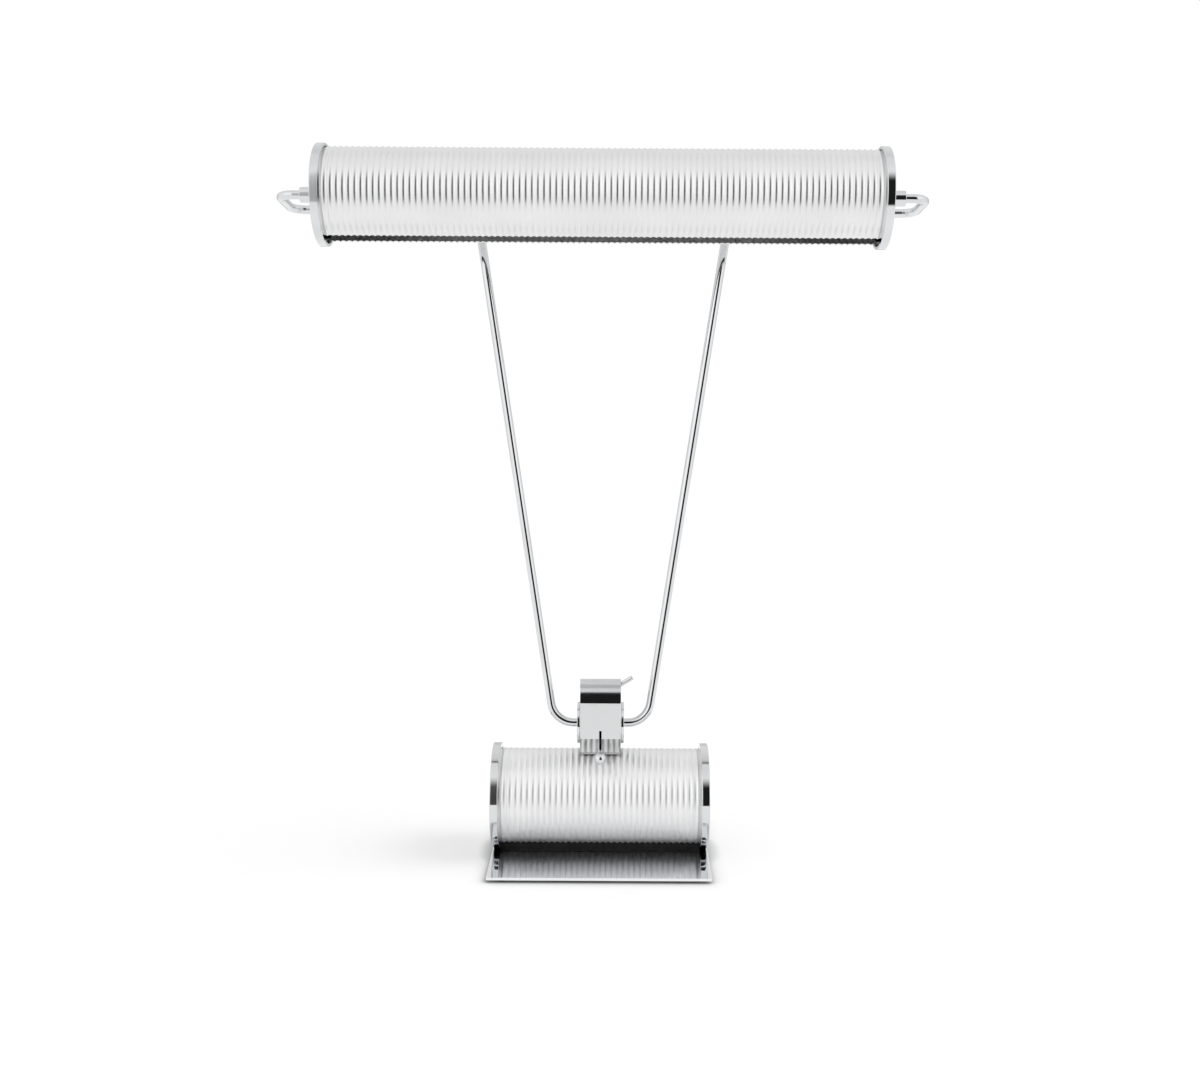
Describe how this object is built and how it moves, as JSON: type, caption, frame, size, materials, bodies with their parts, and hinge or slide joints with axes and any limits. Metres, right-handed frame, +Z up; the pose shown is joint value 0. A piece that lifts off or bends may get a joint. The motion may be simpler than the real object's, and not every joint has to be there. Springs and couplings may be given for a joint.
{
  "type": "desk lamp",
  "caption": "Desk lamp: a ribbed metal tube shade with a light slot turns on splayed bent rods, which tilt in a chrome clamp block on a ribbed cylinder base with a mirror plate.",
  "frame": {"origin": "on the desk, under the middle of the base plate", "axes": "+Z is up, +X is to the right seen from the front and along the ribbed tubes, and -Y is towards the viewer, the side that the ball lever of the switch points to"},
  "size_m": [0.446, 0.131, 0.4923],
  "materials": {
    "mirror_chrome": "polished",
    "ribbed_aluminium": "satin",
    "reflector_aluminium": "satin",
    "grey_iron": "matte",
    "plain_steel": "satin",
    "plain_brass": "satin",
    "black_plastic": "matte",
    "black_rubber": "matte",
    "frosted_glass": "satin"
  },
  "bodies": {
    "base": {"base_plate": "mirror_chrome", "base_pads": "black_rubber", "base_bolts": "plain_steel", "base_spacers": "black_rubber", "base_skin": "ribbed_aluminium", "base_ballast": "grey_iron", "base_cap_left": "mirror_chrome", "base_cap_right": "mirror_chrome", "cord_gland": "black_rubber", "clamp_block": "mirror_chrome", "clamp_axle": "plain_steel", "switch_body": "black_plastic", "switch_pin": "plain_steel"},
    "arm": {"arm_rod_left": "mirror_chrome", "arm_rod_right": "mirror_chrome", "arm_shaft": "plain_steel", "arm_disc_left": "mirror_chrome", "arm_disc_right": "mirror_chrome", "arm_collar_left": "mirror_chrome", "arm_collar_right": "mirror_chrome", "arm_retainer_left": "plain_steel", "arm_retainer_right": "plain_steel"},
    "shade": {"shade_skin": "ribbed_aluminium", "shade_liner": "reflector_aluminium", "shade_cap_left": "mirror_chrome", "shade_cap_right": "mirror_chrome", "shade_bush_left": "plain_brass", "shade_bush_right": "plain_brass", "holder_strap_left": "plain_steel", "holder_strap_right": "plain_steel", "lampholder_left": "black_plastic", "lampholder_right": "black_plastic", "bulb_cap_left": "plain_brass", "bulb_cap_right": "plain_brass", "bulb_glass_left": "frosted_glass", "bulb_glass_right": "frosted_glass"},
    "lock": {"clamp_roll": "mirror_chrome", "clamp_lever": "mirror_chrome"},
    "switch": {"switch_lever": "mirror_chrome", "switch_ball": "mirror_chrome"}
  },
  "joints": [
    {"name": "arm_tilt", "type": "hinge", "parent": "base", "child": "arm", "pos_m": [0, 0, 0.0934], "axis": [1, 0, 0], "range_deg": [-35, 55]},
    {"name": "shade_turn", "type": "hinge", "parent": "arm", "child": "shade", "pos_m": [0, 0, 0.45806], "axis": [1, 0, 0], "range_deg": [-80, 80]},
    {"name": "lock_lever", "type": "hinge", "parent": "base", "child": "lock", "pos_m": [0, -0.0082, 0.1213], "axis": [-1, 0, 0], "range_deg": [0, 70]},
    {"name": "switch_lever", "type": "hinge", "parent": "base", "child": "switch", "pos_m": [0, 0, 0.0781], "axis": [-1, 0, 0], "range_deg": [0, 45]}
  ]
}
